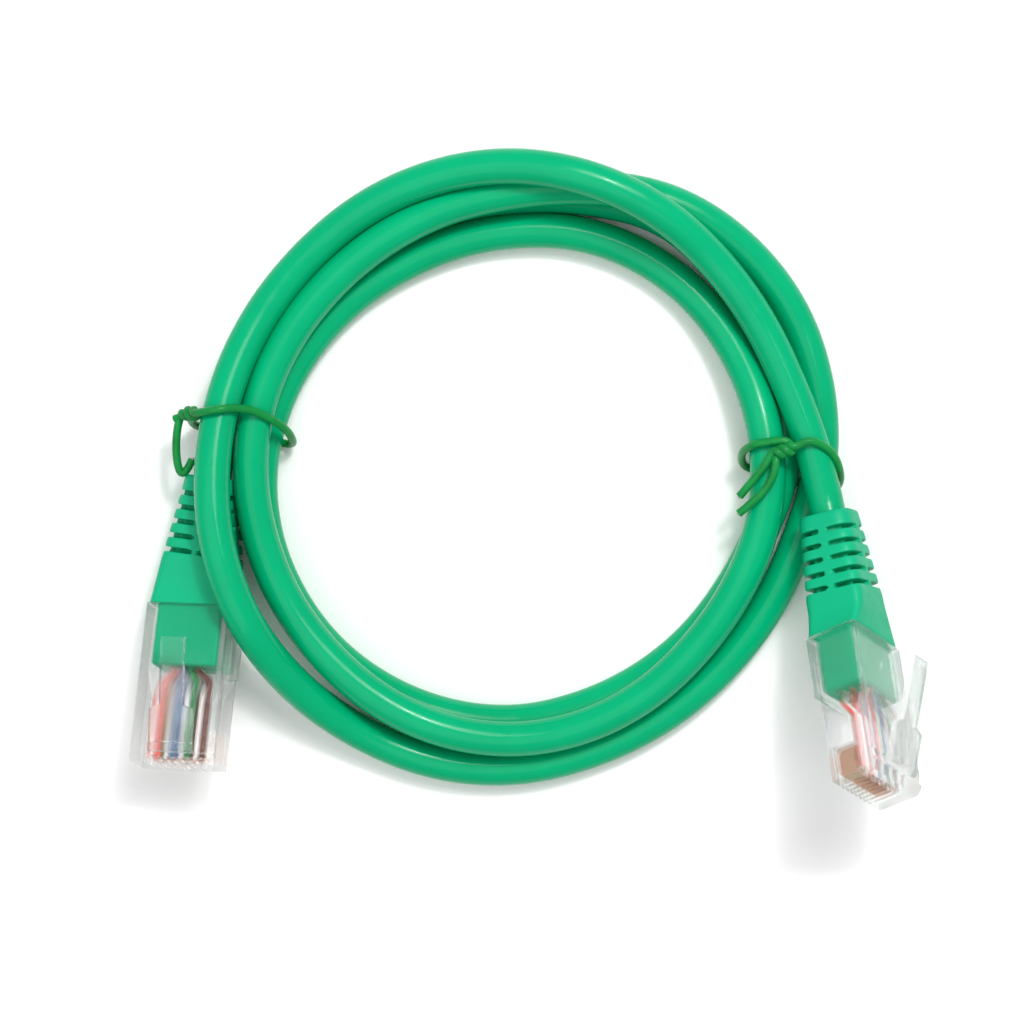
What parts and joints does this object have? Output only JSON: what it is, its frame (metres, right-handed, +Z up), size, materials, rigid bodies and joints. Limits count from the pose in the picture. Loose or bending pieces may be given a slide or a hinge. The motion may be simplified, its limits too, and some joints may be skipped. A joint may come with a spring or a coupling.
{
  "type": "ethernet patch cable",
  "caption": "Green ethernet patch cable in a round coil held by wire twist ties, with clear modular plugs, hinged latch tabs and ribbed green boots at its ends.",
  "frame": {"origin": "on the surface that the coil lies on, under the centre of the box round both plugs, both boots and both ties", "axes": "+Z up from the surface, +X from the left plug to the right plug, +Y from the plugs towards the far side of the coil"},
  "size_m": [0.1049, 0.0872, 0.0303],
  "materials": {
    "jacket": "satin green PVC",
    "boot": "soft satin green PVC",
    "clear_plastic": "clear polycarbonate",
    "copper": "bare copper strands",
    "gold_contact": "gold plated phosphor bronze",
    "wire_white_orange": "satin insulation",
    "wire_orange": "satin insulation",
    "wire_white_green": "satin insulation",
    "wire_blue": "satin insulation",
    "wire_white_blue": "satin insulation",
    "wire_green": "satin insulation",
    "wire_white_brown": "satin insulation",
    "wire_brown": "satin insulation",
    "tie_coat": "satin green plastic coat",
    "tie_steel": "bare steel wire"
  },
  "bodies": {
    "root": {"cable_coil": "jacket", "cable_lead_left": "jacket", "left_boot": "boot", "left_housing": "clear_plastic", "left_jacket_clamp": "clear_plastic", "left_copper_cores": "copper", "left_contact_1": "gold_contact", "left_contact_2": "gold_contact", "left_contact_3": "gold_contact", "left_contact_4": "gold_contact", "left_contact_5": "gold_contact", "left_contact_6": "gold_contact", "left_contact_7": "gold_contact", "left_contact_8": "gold_contact", "left_wire_white_orange": "wire_white_orange", "left_wire_orange": "wire_orange", "left_wire_white_green": "wire_white_green", "left_wire_blue": "wire_blue", "left_wire_white_blue": "wire_white_blue", "left_wire_green": "wire_green", "left_wire_white_brown": "wire_white_brown", "left_wire_brown": "wire_brown", "left_tie_coat": "tie_coat", "left_tie_wire": "tie_steel", "cable_lead_right": "jacket", "right_boot": "boot", "right_housing": "clear_plastic", "right_jacket_clamp": "clear_plastic", "right_copper_cores": "copper", "right_contact_1": "gold_contact", "right_contact_2": "gold_contact", "right_contact_3": "gold_contact", "right_contact_4": "gold_contact", "right_contact_5": "gold_contact", "right_contact_6": "gold_contact", "right_contact_7": "gold_contact", "right_contact_8": "gold_contact", "right_wire_white_orange": "wire_white_orange", "right_wire_orange": "wire_orange", "right_wire_white_green": "wire_white_green", "right_wire_blue": "wire_blue", "right_wire_white_blue": "wire_white_blue", "right_wire_green": "wire_green", "right_wire_white_brown": "wire_white_brown", "right_wire_brown": "wire_brown", "right_tie_coat": "tie_coat", "right_tie_wire": "tie_steel"},
    "left_latch": {"left_latch": "clear_plastic"},
    "right_latch": {"right_latch": "clear_plastic"}
  },
  "joints": [
    {"name": "left_latch_press", "type": "hinge", "parent": "root", "child": "left_latch", "pos_m": [-0.04674, -0.01884, 0.01511], "axis": [-0.9768, 0.0283, -0.2124], "range_deg": [0, 15], "stiffness_Nm_per_rad": 0.02},
    {"name": "right_latch_press", "type": "hinge", "parent": "root", "child": "right_latch", "pos_m": [0.04818, -0.02027, 0.02597], "axis": [-0.6165, 0.3937, 0.6819], "range_deg": [0, 15], "stiffness_Nm_per_rad": 0.02}
  ]
}
